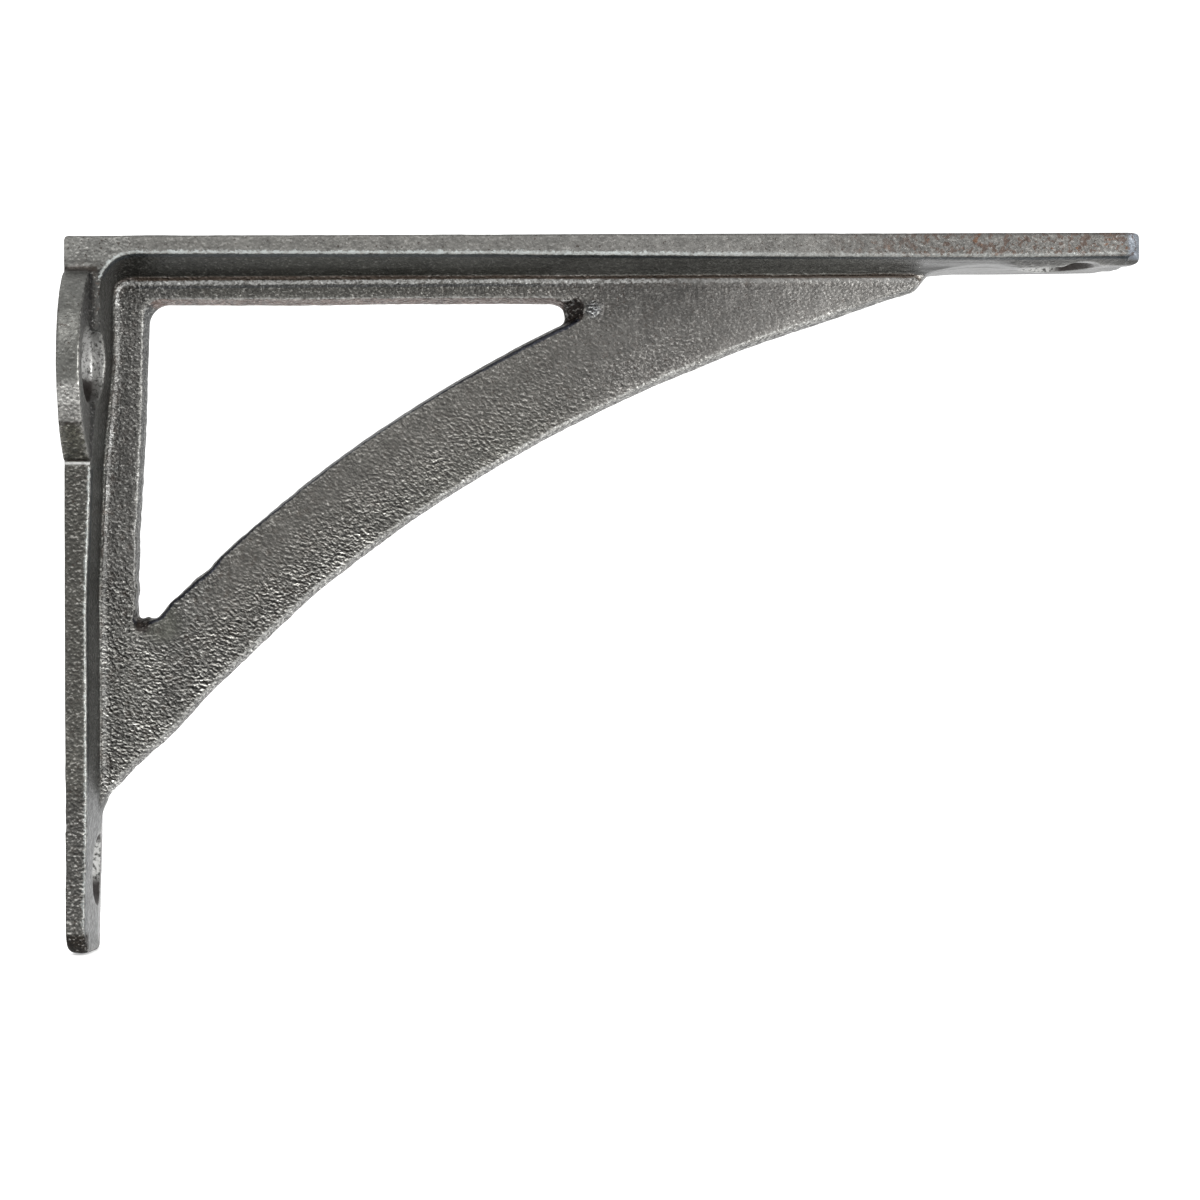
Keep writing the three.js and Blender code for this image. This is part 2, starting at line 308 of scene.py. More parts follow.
# Edges that stand out were rubbed, and are painted brighter still as a highlight, most those that
# face down and forward; grime lies in the creases
normal = outward()
bend = ((round_about(place) - place) * normal).sum(1)
for _ in range(2):
    bend = 0.5 * bend + 0.5 * round_about(bend)
highlight_way = fade(normal @ np.array((0.55, -0.1, -0.8)), 0.1, 0.5)
wear_and_highlight = np.clip(-bend / 0.014, 0, 1) * (0.15 + 0.85 * highlight_way)
creased = np.clip(bend / 0.010, 0, 1)
for _ in range(3):
    normal = round_about(normal)
normal /= np.linalg.norm(normal, axis=1)[:, None]

# The fine form is thinned, and what was found on it goes to the vertices that stay
triangles = 190000
thin = casting.modifiers.new("thin", "DECIMATE")
outward()
casting_mesh.calc_loop_triangles()
thin.ratio = triangles / len(casting_mesh.loop_triangles)
fine_places = kdtree.KDTree(count)
for index, point in enumerate(place.tolist()):
    fine_places.insert(point, index)
fine_places.balance()
casting_mesh = finish_modifiers(casting)
count = len(casting_mesh.vertices)
place = read_places()
nearest = [fine_places.find(point)[1] for point in place.tolist()]
normal, wear_and_highlight, creased, coarse, rib, plate_side = (
    values[nearest] for values in (normal, wear_and_highlight, creased, coarse, rib, plate_side)
)

# Where each place of the casting lies, by what it faces
x, y, z = place.T
across = np.abs(y)
facing = np.abs(normal[:, 1])
flat_side = plate_side * fade(facing, 0.5, 0.8) * fade(across, half_width + 0.3, half_width + 0.15)
shaded_ear_root = fade(x, 3.2, 3.7) * fade(z, 14, 16) * fade(z, 46.6, 46) * fade(across, 11.3, 10.9)
beyond_plate = fade(across, half_width + 0.1, half_width + 0.3)
ear_rim = beyond_plate * fade(np.abs(normal[:, 0]), 0.75, 0.5) * (1 - shaded_ear_root)
ear_front = beyond_plate * fade(normal[:, 0], 0.5, 0.75)
rib_face = rib * fade(facing, 0.6, 0.85)
inside = (1 - plate_side) * fade(x, 0.6, 1.2) * fade(z, top - 0.6, top - 1.2)
shelf_under = inside * fade(normal[:, 2], -0.45, -0.8) * (1 - rib)
wall_inner = inside * fade(normal[:, 0], 0.45, 0.8) * (1 - rib)
rib_edge = rib * fade(facing, 0.8, 0.6) * inside
in_opening = rib_edge * fade(z, -6.5, -5) * fade(x, 76, 75) * fade(x, 7, 8)
in_opening *= 1 - fade(normal[:, 2], -0.2, -0.35) * fade(z, 38.5, 37)

# Distances in millimetres, from which the finish draws fine lines. First from the edge of the two
# plates, out on their narrow sides, and from the root of the rib, up on the plates.
off_line = 5
edge_front, edge_under = plate_edges()
bend_x, bend_z, bend_radius = 10, 43.56, 4.9
rim_gap = np.where(x > bend_x, z - edge_under, edge_front - x)
in_bend = (x < bend_x) & (z > bend_z)
rim_gap = np.where(in_bend, np.hypot(x - bend_x, z - bend_z) - bend_radius, rim_gap)
side_start = half_width - 0.1
rim_gap = np.where(across > side_start, rim_gap, np.minimum(rim_gap, 0) - (side_start - across))
on_back_or_top = (z > top - 1) | (x < 1)
on_ear = (across > half_width + 0.15) | ((z > 18.3) & (z < 44.8) & (x < 7))
on_ends = (z < 3 - top) | (x > projection - 1.8)
rim_gap = np.where(on_ear | on_back_or_top | on_ends, off_line, rim_gap)

root_gap = np.maximum(across - rib_half, 0) - np.maximum(past_root(), 0)
root_gap += np.maximum(-36.8 - z, 0) + np.maximum(x - 121.5, 0)
root_gap = np.where(on_back_or_top, off_line, root_gap)

# From the seams over and under each ear
off_ear = 9
upper_seam, lower_seam = 46.2, 18.95
ear_seam = np.where(z > 30, np.maximum(0.22 + 0.4 * (z - upper_seam), 0), z - lower_seam)
ear_seam = np.where((across > half_width - 0.15) & (x < 5), ear_seam, off_ear)


def gap_to(mask):
    """How far each vertex is from the nearest vertex of the mask."""
    chosen = np.flatnonzero(mask)
    tree = kdtree.KDTree(len(chosen))
    for index in chosen.tolist():
        tree.insert(place[index], index)
    tree.balance()
    return np.array([tree.find(point)[2] for point in place.tolist()])


# From the brace's lower edge, the opening's edges and the brace's upper side, where the flash
# was of a varying width
brace_edge = (rib_edge > 0.6) & (normal[:, 2] < -0.35) & (in_opening < 0.5)
brace_gap = gap_to(brace_edge & (x > 5.5) & (z < 46) & (z < x - 12))
opening_gap = gap_to((in_opening > 0.6) & (normal[:, 2] < 0.1))
upper_gap = gap_to((in_opening > 0.6) & (normal[:, 2] > 0.25))
upper_gap += np.interp(x, (16, 26, 40, 50, 60, 68), (0.1, 0.25, 0.42, 0.4, 0.2, 0))

# The colour of the skin in each place, how smooth it is, and how much its grain shows
skin = np.empty((count, 3))
skin[:] = (0.062, 0.061, 0.056)
smooth = np.zeros(count)
grain = 0.3 + 0.3 * coarse


def paint(mask, colour=None, gloss=None, grained=None, lighter=None):
    """Colours the skin, lightens it, smooths it or sets its grain, where the mask says."""
    mask = np.clip(mask, 0, 1)
    if colour is not None:
        skin[:] += (np.array(colour) - skin) * mask[:, None]
    if lighter is not None:
        skin[:] *= (1 + (lighter - 1) * mask)[:, None]
    if gloss is not None:
        smooth[:] += (gloss - smooth) * mask
    if grained is not None:
        grain[:] += (grained - grain) * mask


def at(spot_x, spot_z, reach, sharp=0.5):
    """1 round a place on the casting's side, 0 further than reach from it."""
    return fade(np.hypot(x - spot_x, z - spot_z), reach, reach * sharp)


# The undersides beside the rib are dark and even, painted shade from the rib, darkest in the corner
# between the plates and lighter towards the tip and low on the wall plate
near_strip = fade(across, 6.4, 7.2)
paint(shelf_under, (0.021, 0.021, 0.017), gloss=0.3, grained=0.18)
paint(shelf_under * fade(x, 35, 22), (0.017, 0.017, 0.014))
paint(shelf_under * fade(x, 48, 60), (0.036, 0.036, 0.031))
paint(shelf_under * fade(x, 64, 74), (0.066, 0.066, 0.060), gloss=0.35)
paint(shelf_under * fade(x, 108, 122), (0.047, 0.046, 0.042), gloss=0.45, grained=0.2)
paint(shelf_under * fade(x, 118, 126) * near_strip, (0.032, 0.031, 0.028), gloss=-0.3)
paint(wall_inner, (0.036, 0.037, 0.034), gloss=0.5, grained=0.15)
paint(wall_inner * fade(z, 22, 27), (0.032, 0.032, 0.029))
paint(wall_inner * fade(z, 2, -3), (0.055, 0.056, 0.053), gloss=0.55, grained=0.2)
paint(wall_inner * fade(z, -26, -31), (0.040, 0.042, 0.041), gloss=0.6, grained=0.12)
paint(ear_front, (0.038, 0.038, 0.035), gloss=0.3, grained=0.3)

# The rib: dark in the grain, smoother and lighter towards the tip
brace_foot = fade(z + 0.35 * x, 42, 12)
wall_rail = fade(x, 16.5, 14) * fade(z, 0, 6)
shelf_rail = fade(x, 12, 16) * fade(z, 40, 41.5) * fade(x, 80, 74)
upper_brace = fade(x, 16, 24) * fade(upper_gap, 12, 6) * fade(x, 90, 70)
behind_opening = fade(x, 72, 78) * fade(x, 94, 84) * fade(z, 38.5, 42)
lower_brace = fade(brace_gap, 9, 2)
brace_rim = fade(brace_gap, 2.0, 0.4) * fade(x, 118, 100)
foot_root = fade(root_gap, -1.55, -1.2) * fade(z, -2, -8)
paint(rib_face, (0.042, 0.041, 0.037), gloss=0.15, grained=0.28)
paint(rib_face * brace_foot, (0.045, 0.044, 0.041), gloss=0.1, grained=0.8)
paint(rib_face * wall_rail, (0.047, 0.046, 0.043), gloss=0.15, grained=0.36)
paint(rib_face * shelf_rail, grained=0.26)
paint(rib_face * upper_brace, (0.049, 0.047, 0.043), gloss=0.15, grained=0.3)
paint(rib_face * fade(x, 60, 85), (0.051, 0.049, 0.046), gloss=0.1, grained=0.11)
paint(rib_face * fade(x, 88, 112), (0.095, 0.092, 0.087), gloss=0.1, grained=0.14)
paint(rib_face * behind_opening, lighter=0.78)
paint(rib_face * fade(x, 14, 10) * fade(z, 2, -6), (0.056, 0.055, 0.051))
paint(rib_face * lower_brace * fade(x, 96, 76), grained=0.5, lighter=1.05)
paint(rib_face * lower_brace * fade(x, 60, 40), grained=0.95)
paint(rib_face * at(13, -3.8, 3.6), (0.046, 0.046, 0.040), gloss=0.2, grained=0.25)
# The brace's lower rim is painted lighter as the reflection it catches
paint(rib_face * brace_rim, gloss=0.1, lighter=1.3)
paint(rib_face * foot_root, (0.085, 0.084, 0.079), gloss=0.2, grained=0.7)
# The rib's downward-facing edges are painted light, partly as the reflection they catch
paint(rib_edge * fade(normal[:, 2], -0.3, -0.6), (0.085, 0.084, 0.080), gloss=0.1, grained=0.9)
paint(rib * at(122.7, 45.3, 1.9, 0.3), (0.17, 0.165, 0.155), gloss=0.3, grained=0.9)

# The walls of the opening: brown above, light beside the wall plate, and painted nearly black with
# shade along the brace and in the two sharp corners, with a chip beside the upper one
roof = in_opening * fade(normal[:, 2], -0.4, -0.7)
back_wall = in_opening * fade(normal[:, 0], 0.4, 0.7)
brace_top_shade = in_opening * fade(normal[:, 2], 0.15, 0.4) * fade(y, -1.7, -2.1)
shaded_upper_corner = rib * fade(x, 70.8, 71.4) * fade(x, 74.7, 74.1)
shaded_upper_corner *= fade(z, 38.0, 38.8) * fade(z, 43.2, 42.6)
paint(roof, (0.082, 0.060, 0.052), gloss=0.5, grained=0.4)
paint(back_wall * fade(z, 8, 12), (0.055, 0.056, 0.055), gloss=0.2, grained=0.5)
paint(back_wall * fade(z, 12, 8), (0.05, 0.05, 0.048), gloss=0.4, grained=0.5)
paint(brace_top_shade, (0.003, 0.004, 0.008), gloss=-2.4, grained=0)
paint(brace_top_shade * fade(x, 24, 30) * fade(x, 62, 54), (0.075, 0.085, 0.098), gloss=-0.5, grained=0.3)
paint(shaded_upper_corner * fade(facing, 0.97, 0.9), (0.006, 0.004, 0.003), gloss=0, grained=0.5)
paint(rib_face * at(75.3, 41.1, 1.5, 0.3), (0.088, 0.090, 0.091), gloss=0.3, grained=1.3)
paint(rib * at(10.2, -4.1, 1.5, 0.55), (0.008, 0.006, 0.005), gloss=0, grained=0.3)

# The narrow sides of the plates: light on the shelf, coarse and dark down the wall plate
block_by_ear = fade(x, 12, 8) * fade(z, 45, 46.5)
over_ear = fade(x, 6, 5) * fade(across, 9.7, 9.9) * fade(np.abs(z - 46.9), 0.8, 0.4)
foot_facet = fade(across, 6.5, 8) * fade(z, -47.9, -48.2)
paint(flat_side, (0.092, 0.090, 0.084), gloss=0.3, grained=0.16)
paint(flat_side * fade(x, 40, 80), (0.088, 0.086, 0.081), grained=0.1)
paint(flat_side * fade(x, 100, 125), (0.066, 0.064, 0.060), grained=0.14)
paint(flat_side * block_by_ear, (0.102, 0.101, 0.095), grained=0.25)
# Painted shade along the shelf's top edge, and in the crease over each ear
paint(flat_side * fade(z, 50.5, 50.8), lighter=0.7)
paint(over_ear, grained=0.1, lighter=0.6)
paint(flat_side * fade(z, 18.7, 18), (0.037, 0.036, 0.032), gloss=0.2, grained=0.48)
paint(flat_side * fade(z, -10, -17) * fade(z, -31, -25), lighter=1.25)
paint(flat_side * fade(z, -27, -32), (0.043, 0.042, 0.039), gloss=0.2, grained=0.72)
paint(flat_side * fade(z, -44, -47.5) * fade(z, -48.2, -47.8), grained=0.9, lighter=1.3)
paint(foot_facet, (0.010, 0.008, 0.006), gloss=-1.2, grained=0.8)
wear_and_highlight *= 1 - foot_facet

# The ears: light round their rims, with a painted highlight low down, painted shade beside their
# roots and above their holes, and dark along their lower seams
beside_face = fade(across, 9, 9.3) * fade(across, 11.5, 11) * fade(x, 8, 7)
paint(plate_side * shaded_ear_root, (0.012, 0.012, 0.011), gloss=-0.5, grained=0.3)
paint(ear_front * fade(z, 37, 39), (0.021, 0.021, 0.020), gloss=0.1, grained=0.5)
paint(ear_rim, (0.088, 0.088, 0.082), gloss=0.3, grained=0.16)
paint(ear_rim * fade(z, 42, 39.5), (0.064, 0.064, 0.059))
# A band of painted highlight low on each rim
paint(ear_rim * fade(z, 30, 28.8), (0.166, 0.164, 0.156), gloss=0.2, grained=0.5)
paint(ear_rim * fade(z, 27, 25.8), (0.118, 0.116, 0.110))
wear_and_highlight *= 1 - 0.9 * beside_face * fade(z, 22, 24) * fade(z, 49, 48)
paint(ear_rim * fade(z, 24.1, 23.7), (0.034, 0.033, 0.026), gloss=0.1, grained=0.6)
paint(ear_rim * fade(np.abs(z - 23.85), 0.45, 0.1), (0.012, 0.010, 0.008), gloss=0, grained=0.2)

# The tip's end is dull, and bluish at its corners. The top and the back lie on the board and the
# wall, and are duller still.
tip_end = projection - 3.8
tip_corner = fade(x, tip_end + 1.4, tip_end + 1.9) * fade(across, 8.2, 8.9) * fade(z, 46.9, 47.4)
paint(fade(x, tip_end, tip_end + 0.8), gloss=-1, grained=0.1)
paint(tip_corner, (0.122, 0.134, 0.150), gloss=-1.5, grained=0.1)
wear_and_highlight *= 1 - fade(x, tip_end, tip_end + 0.6)
paint(np.maximum(fade(z, top - 0.6, top - 0.2), fade(x, 0.5, 0.1)), gloss=-1.2)

# Where the drill cut, and the painted shade in each countersink: low down in the ears' and the
# foot's, high up too in the foot's, and on the tip's side of the one under the tip
cut = np.zeros(count)
countersink_shade = np.zeros(count)
for name, (middle, axis) in screw_holes.items():
    offset, along, radius = from_hole(name)
    out_from_wall, _, up = offset.T
    in_hole = np.abs(along) < 4.6
    turned = normal @ np.array(axis)
    sunk = fade(radius, mouth_radius + 0.15, mouth_radius - 0.1) * in_hole
    sunk *= fade(turned, 0.97, 0.9) * fade(turned, -0.6, -0.4)
    if name == "foot":
        shaded_side = np.maximum(fade(up, -0.5, -2.5), fade(up, 3.6, 4.4))
    elif name == "tip":
        far_rim = fade(radius, 5.0, 4.75) * in_hole * (y > 0)
        sunk = np.maximum(sunk, far_rim * fade(out_from_wall, -0.6, 0.6))
        shaded_side = fade(out_from_wall, -0.8, 1.4)
    else:
        shaded_side = np.maximum(fade(up, -0.9, -2.2), 0.3)
    cut = np.maximum(cut, sunk)
    countersink_shade = np.maximum(countersink_shade, sunk * shaded_side)
tip_sunk = sunk

# Where the wheel ground the seat, and where it chattered beside the tip's hole
strip = edge_under - crown() * np.clip(1 - across / half_width, 0, 1)
ground = fade(z - strip, 0.0, 0.12) * fade(x, run_out_start, run_out_full)
ground *= fade(z, 49.5, 49) * fade(across, 9.8, 9.5) * fade(normal[:, 2], -0.6, -0.8)
ground *= 1 - tip_sunk
chatter = ground * fade(np.hypot(x - tip_hole, y), 5.9, 5.3)
chatter *= fade(x, tip_hole - 0.2, tip_hole - 2.2)

# Where the other marks lie: ridges in the brace's grain, rust and specks on the sides, bright
# crests and dust along the rib's root, and a scratch behind the opening's sharp corner
rusty = plate_side * fade(x, 100, 130) * fade(z, 44, 47)
ridged = rib * fade(x, 90, 60) * fade(upper_gap, 1, 5) * fade(z, 41, 38)
ridged *= np.maximum(fade(x, 14, 18), fade(z, 2, -6))
speckled = np.maximum(plate_side, 0.9 * rib_face * fade(x, 40, 70))
along_shelf = fade(z, 40, 43)
root_shine = np.maximum(along_shelf, 0.27)
root_shine = np.maximum.reduce([root_shine, at(5.5, 22.7, 2.5), at(4.8, 15, 1.8)])
root_shine = np.maximum(root_shine * fade(x, 100, 75), 0.4 * along_shelf)
dusty = fade(z, 43, 44.5) * fade(x, 8.5, 10)
scratch_gap = np.abs(z - 40.75 + 0.05 * (x - 76)) + 0.4 * np.maximum(np.abs(x - 78.3) - 2.2, 0)

for name, values in {
    "wear_and_highlight": wear_and_highlight,
    "creased": creased,
    "grain": grain,
    "smooth": smooth,
    "rib": rib,
    "cut": cut,
    "countersink_shade": countersink_shade,
    "ground": ground,
    "chatter": chatter,
    "rusty": rusty,
    "ridged": ridged,
    "speckled": speckled,
    "plate_side": plate_side,
    "dusty": dusty,
    "hollow_shade_share": dusty * fade(x, 85, 60),
    "rim_shine": np.interp(x, (5, 7, 85, 105), (0.45, 0.95, 0.95, 0.35)),
    "root_shine": root_shine,
    "rim_gap": rim_gap,
    "root_gap": root_gap,
    "ear_seam": ear_seam,
    "upper_gap": upper_gap + 1.5 * np.maximum(y + 2.3, 0),
    "brace_gap": brace_gap + 9 * fade(x, 112, 118),
    "opening_gap": opening_gap,
    "scratch_gap": scratch_gap,
}.items():
    attribute = casting_mesh.attributes.new(name, "FLOAT", "POINT")
    attribute.data.foreach_set("value", values.astype(np.float32))
painted = casting_mesh.attributes.new("skin", "FLOAT_COLOR", "POINT")
painted.data.foreach_set("color", np.c_[skin, np.ones(count)].astype(np.float32).ravel())

casting_form = bmesh.new()
casting_form.from_mesh(casting_mesh)
bmesh.ops.scale(casting_form, vec=(1 / per_metre,) * 3, verts=casting_form.verts)
bmesh.ops.triangulate(casting_form, faces=casting_form.faces)
for face in casting_form.faces:
    face.smooth = True
casting_form.to_mesh(casting_mesh)
casting_form.free()

# Bare iron: a dark skin with the grain of the sand, brighter where it was rubbed or ground, with
# painted highlights and shade
iron = bpy.data.materials.new("cast_iron")
iron.use_nodes = True
iron_tree = iron.node_tree
iron_tree.nodes.clear()


def add(kind, settings, inputs):
    """A node of the iron's finish. An input is a number, a colour or another node's output."""
    node = iron_tree.nodes.new("ShaderNode" + kind)
    for name, value in settings.items():
        setattr(node, name, value)
    for name, value in inputs.items():
        if isinstance(value, bpy.types.NodeSocket):
            iron_tree.links.new(value, node.inputs[name])
        else:
            node.inputs[name].default_value = value
    return node


def value_of(name):
    """What the casting's vertices hold under this name."""
    return add("Attribute", {"attribute_name": name}, {}).outputs["Fac"]


def math_of(how, first, second):
    """Two values joined by a Math node."""
    return add("Math", {"operation": how}, {0: first, 1: second}).outputs[0]


def times(first, second):
    """One value times another."""
    return math_of("MULTIPLY", first, second)


def plus(first, second):
    """Two values added."""
    return math_of("ADD", first, second)


def minus(first, second):
    """One value less another."""
    return math_of("SUBTRACT", first, second)


def between(value, low_in, high_in, low_out=0.0, high_out=1.0):
    """The value's way from low_in to high_in, as a smooth way from low_out to high_out."""
    ends_of_way = {"From Min": low_in, "From Max": high_in, "To Min": low_out, "To Max": high_out}
    node = add("MapRange", {"interpolation_type": "SMOOTHSTEP"}, {"Value": value, **ends_of_way})
    return node.outputs["Result"]


def stripe(gap, start, full, still, end):
    """1 where a distance lies between full and still, 0 before start and after end."""
    return times(between(gap, start, full), between(gap, end, still))


def mixed(share, first, second, how="MIX"):
    """Two colours or tones mixed by a share."""
    settings = {"data_type": "RGBA", "blend_type": how}
    return add("Mix", settings, {0: share, 6: first, 7: second}).outputs[2]


def grey(value):
    """A number as a colour, for a mix."""
    return (value, value, value, 1)


on_casting = add("TexCoord", {}, {}).outputs["Object"]


def grains(size, detail, rough=0.5, drawn=(1, 1, 1), turn=0.0, above=0.0, seed=0.0, twist=0.0):
    """Noise from 0 to 1 with grains of a size in millimetres, drawn out and turned in the rib's
    plane. With above it is the noise that lies so many millimetres higher."""
    lifted = (0, 0, above / per_metre)
    vector = add("VectorMath", {"operation": "ADD"}, {0: on_casting, 1: lifted}).outputs[0]
    turned = (0, math.radians(turn), 0)
    spread = {"Vector": vector, "Scale": drawn, "Rotation": turned}
    placed = add("Mapping", {"vector_type": "TEXTURE"}, spread).outputs[0]
    drawing = {"Scale": per_metre / size, "Detail": detail, "Roughness": rough, "Distortion": twist}
    node = add("TexNoise", {"noise_dimensions": "4D"}, {"Vector": placed, "W": seed, **drawing})
    return node.outputs["Fac"]


side_here = value_of("plate_side")
rib_here = value_of("rib")
cut_here = value_of("cut")
countersink_shade_here = value_of("countersink_shade")
ground_here = value_of("ground")
grain_here = value_of("grain")
ridged_here = value_of("ridged")
rusty_here = value_of("rusty")
rim_here = value_of("rim_gap")
root_here = value_of("root_gap")
seam_here = value_of("ear_seam")


def sand_grain(above):
    """The height of the sand's grain: ridges across the brace, round pimples elsewhere."""
    ridges = grains(0.40, 1.5, drawn=(1.5, 1.5, 1), turn=14, above=above, seed=24, twist=0.3)
    pimples = grains(0.42, 1.5, drawn=(1.2, 1.2, 1), above=above, seed=27)
    return add("Mix", {"data_type": "FLOAT"}, {0: ridged_here, 2: pimples, 3: ridges}).outputs[0]


# The grain is painted lighter on its upper flanks and darker below its crests, as though lit from
# above, and painted glints sit on its crests
crest = sand_grain(0)
lit_flank = minus(crest, sand_grain(0.18))
lift = plus(times(minus(crest, 0.5), 3.2), times(lit_flank, plus(5.0, times(ridged_here, 3.0))))
uneven = between(grains(3.8, 2, seed=33), 0.34, 0.66, 0.6, 1.2)
grain_tone = math_of("POWER", 3.4, times(lift, times(grain_here, uneven)))
glint_heights = between(plus(crest, times(lit_flank, 0.6)), 0.62, 0.74)
glints = times(glint_heights, math_of("MINIMUM", plus(grain_here, 0.15), 1.0))

patches = between(grains(2.6, 3, 0.6, seed=2), 0.3, 0.7, 0.86, 1.14)
flecks = between(grains(0.36, 2, 0.6, seed=4), 0.32, 0.68, 0.88, 1.12)
skin_tone = times(grain_tone, times(patches, flecks))
skin_here = add("Attribute", {"attribute_name": "skin"}, {}).outputs["Color"]
base = mixed(1.0, skin_here, skin_tone, "MULTIPLY")


def tinged(finish, share, colour):
    """The finish with a colour over it where the share says."""
    return mixed(share, finish, (*colour, 1))


# Painted glints on the crests, black specks, rust towards the tip, grime in the creases, and rubbed
# corners painted brighter as a highlight
specks = times(between(grains(0.5, 2, 0.6, seed=9), 0.61, 0.66), value_of("speckled"))
rust = times(between(grains(0.75, 2.5, 0.6, seed=12), 0.50, 0.56), rusty_here)
orange = times(between(grains(1.1, 2, 0.6, seed=51), 0.64, 0.69), rusty_here)
tinted = times(between(grains(2.2, 3, 0.6, seed=15), 0.4, 0.62), value_of("creased"))
corner_wear_and_highlight = times(between(grains(0.5, 3, 0.6, seed=18), 0.40, 0.60), value_of("wear_and_highlight"))
base = tinged(base, times(glints, 0.5), (0.30, 0.295, 0.28))
base = tinged(base, times(specks, 0.75), (0.020, 0.014, 0.011))
base = tinged(base, times(rust, 0.8), (0.038, 0.024, 0.018))
base = tinged(base, times(orange, 0.8), (0.062, 0.030, 0.016))
base = tinged(base, times(tinted, 0.5), (0.026, 0.017, 0.012))
base = tinged(base, times(corner_wear_and_highlight, 0.6), (0.24, 0.235, 0.22))

# Along the plates' edges the iron is rubbed bright, partly wear and partly painted highlight, over
# a thin painted shadow
ragged = times(minus(grains(0.5, 2, 0.6, seed=36), 0.5), 1.6)
edge_shadow = stripe(rim_here, -1.9, -1.2, -0.5, -0.25)
edge_wear_and_highlight = stripe(plus(rim_here, ragged), -0.22, -0.08, 0.26, 0.46)
edge_wear_and_highlight = times(edge_wear_and_highlight, value_of("rim_shine"))
edge_patches = between(grains(0.9, 3, 0.6, seed=39), 0.38, 0.6, 0.4, 0.95)
base = tinged(base, times(edge_shadow, 0.85), (0.012, 0.016, 0.019))
base = tinged(base, times(edge_wear_and_highlight, edge_patches), (0.25, 0.265, 0.26))

# The rib's root: a brown line where dust settled, a row of bright crests below it, rubbed and
# painted as a highlight, and painted shade in a hollow
brown = times(stripe(root_here, -0.12, 0.02, 0.5, 0.8), value_of("dusty"))
bright_root = stripe(plus(root_here, times(ragged, 0.7)), -0.95, -0.75, -0.25, -0.08)
bright_root = times(bright_root, value_of("root_shine"))
root_crests = between(grains(0.45, 2, 0.6, seed=42), 0.36, 0.56, 0.15, 0.9)
root_hollow_shade = times(stripe(root_here, -1.5, -1.3, -1.05, -0.9), value_of("hollow_shade_share"))
base = tinged(base, times(brown, 0.75), (0.030, 0.019, 0.012))
base = tinged(base, times(bright_root, root_crests), (0.19, 0.19, 0.185))
base = tinged(base, times(root_hollow_shade, 0.55), (0.018, 0.020, 0.023))

# The brace's lower edge is rubbed bright in patches and painted brighter as the reflection it
# catches, the opening's other edges in dots
brace_wear_and_highlight = stripe(plus(value_of("brace_gap"), times(ragged, 0.5)), 0.0, 0.1, 0.25, 0.5)
brace_patches = between(grains(0.7, 3, 0.6, seed=57), 0.42, 0.58, 0.15, 0.8)
dotted = stripe(value_of("opening_gap"), 0.02, 0.1, 0.25, 0.42)
dots = between(grains(0.6, 2, 0.6, seed=54), 0.47, 0.60, 0.1, 0.6)
base = tinged(base, times(times(brace_wear_and_highlight, rib_here), brace_patches), (0.24, 0.24, 0.23))
base = tinged(base, times(times(dotted, rib_here), dots), (0.20, 0.20, 0.195))

# A scratch behind the opening's sharp corner, and painted shade that leaves the brace's upper edge
# nearly black
scratch = times(between(value_of("scratch_gap"), 0.16, 0.04), rib_here)
black_edge = between(plus(value_of("upper_gap"), times(ragged, 0.3)), 0.62, 0.42)
base = tinged(base, times(scratch, 0.6), (0.015, 0.015, 0.015))
base = tinged(base, times(black_edge, times(0.9, rib_here)), (0.005, 0.006, 0.011))

# The ears' seams: a dark line, with a bright edge under the lower one
base = tinged(base, times(stripe(seam_here, 0.04, 0.12, 0.3, 0.45), 0.85), (0.012, 0.009, 0.007))
base = tinged(base, stripe(seam_here, -0.45, -0.34, -0.12, 0.0), (0.36, 0.36, 0.35))

# Iron that the wheel ground, chattering beside the hole, and iron that the countersink cut,
# darkened by painted shade inside each countersink
wheel_marks = between(grains(0.8, 3, 0.6, drawn=(3.3, 1, 1), seed=45), 0.35, 0.65)
chatter_marks = between(grains(0.7, 3, 0.6, seed=48), 0.42, 0.56)
ground_iron = mixed(wheel_marks, (0.038, 0.038, 0.037, 1), (0.068, 0.068, 0.067, 1))
ground_iron = mixed(times(value_of("chatter"), chatter_marks), ground_iron, (0.42, 0.42, 0.41, 1))
cut_marks = between(grains(0.5, 3, 0.65, drawn=(1, 2, 1.1), seed=30), 0.36, 0.54)
cut_iron = mixed(cut_marks, (0.045, 0.045, 0.043, 1), (0.32, 0.32, 0.31, 1))
cut_iron = mixed(times(countersink_shade_here, 0.96), cut_iron, (0.010, 0.007, 0.006, 1))
base = mixed(times(ground_here, 0.92), base, ground_iron)
base = mixed(cut_here, base, cut_iron)

# Cut and ground iron is smoother than the skin and has little of its relief, and the painted shade
# in the countersinks is dull
finished = math_of("MAXIMUM", cut_here, times(ground_here, 0.8))
skin_roughness = between(grains(0.8, 3, seed=21), 0.3, 0.7, 0.40, 0.54)
roughness = plus(skin_roughness, times(value_of("smooth"), -0.16))
roughness = mixed(finished, roughness, grey(0.36))
roughness = mixed(countersink_shade_here, roughness, grey(0.55))
relief_amount = times(plus(grain_here, 0.05), minus(1.0, times(finished, 0.9)))
relief_amount = times(relief_amount, minus(1.0, times(side_here, 0.6)))
relief_depth = 0.0007
relief_inputs = {"Height": times(crest, relief_amount), "Strength": 1.0, "Distance": relief_depth}
relief = add("Bump", {}, relief_inputs)
surface_inputs = {"Base Color": base, "Roughness": roughness, "Normal": relief.outputs[0]}
surface = add("BsdfPrincipled", {}, {**surface_inputs, "Metallic": 0.8, "IOR": 1.5})
add("OutputMaterial", {}, {"Surface": surface.outputs[0]})
casting_mesh.materials.clear()
casting_mesh.materials.append(iron)

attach(casting, "root")
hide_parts("bracket")


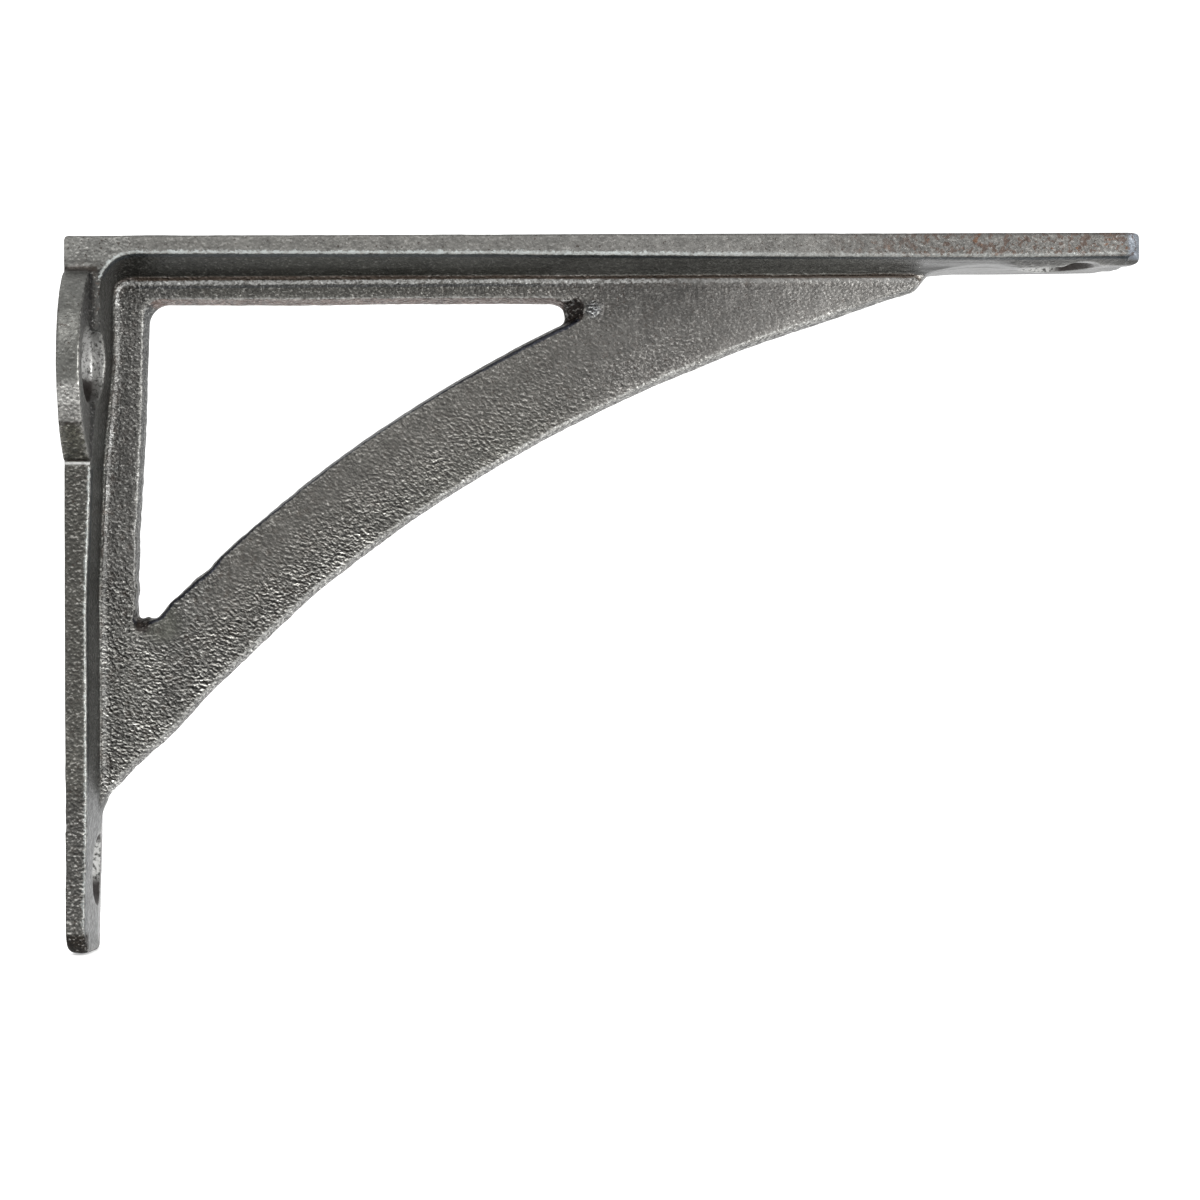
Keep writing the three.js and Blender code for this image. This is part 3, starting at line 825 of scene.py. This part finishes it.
# The studio: a plain pale table under the foot, a white room around it that is brighter behind
# the bracket, and two soft lights on the camera's side, the larger one high on the left.
table_form = bmesh.new()
bmesh.ops.create_grid(table_form, x_segments=2, y_segments=2, size=3)
bmesh.ops.translate(table_form, vec=(0, 0, -0.0511), verts=table_form.verts)
table_mesh = bpy.data.meshes.new("table")
table_form.to_mesh(table_mesh)
table_form.free()
table = bpy.data.objects.new("table", table_mesh)
scene.collection.objects.link(table)
table_paint = bpy.data.materials.new("table_paint")
table_paint.use_nodes = True
table_finish = table_paint.node_tree.nodes["Principled BSDF"].inputs
table_finish["Base Color"].default_value = (0.9, 0.9, 0.9, 1)
table_finish["Roughness"].default_value = 0.9
table_finish["Emission Color"].default_value = (1, 1, 1, 1)
table_finish["Emission Strength"].default_value = 0.3
table_mesh.materials.append(table_paint)

room = bpy.data.worlds.new("room")
room.use_nodes = True
room_tree = room.node_tree
look = room_tree.nodes.new("ShaderNodeTexCoord")
apart = room_tree.nodes.new("ShaderNodeSeparateXYZ")
room_tree.links.new(look.outputs["Generated"], apart.inputs[0])
front_to_back = room_tree.nodes.new("ShaderNodeMapRange")
front_to_back.interpolation_type = "SMOOTHSTEP"
for name, number in {"From Min": -0.95, "From Max": 0.1, "To Min": 0.45, "To Max": 1.35}.items():
    front_to_back.inputs[name].default_value = number
walls = room_tree.nodes["Background"]
room_tree.links.new(apart.outputs["Y"], front_to_back.inputs["Value"])
room_tree.links.new(front_to_back.outputs["Result"], walls.inputs["Strength"])
walls.inputs["Color"].default_value = (1, 1, 1, 1)
scene.world = room
scene.view_settings.view_transform = "Standard"

aimed_at = np.array((0.07, 0, 0))
for name, size, power, spot in (
    ("key", 0.35, 16, (0.75, -0.85, 0.12)),
    ("fill", 0.6, 12, (-0.3, -0.9, 0.8)),
):
    lamp = bpy.data.lights.new(name, "AREA")
    lamp.shape = "SQUARE"
    lamp.size = size
    lamp.energy = power
    holder = bpy.data.objects.new(name, lamp)
    holder.location = spot
    aim_x, aim_y, aim_z = aimed_at - np.array(spot)
    tilt = math.atan2(math.hypot(aim_x, aim_y), -aim_z)
    holder.rotation_euler = (tilt, 0, math.atan2(aim_y, aim_x) - math.pi / 2)
    scene.collection.objects.link(holder)
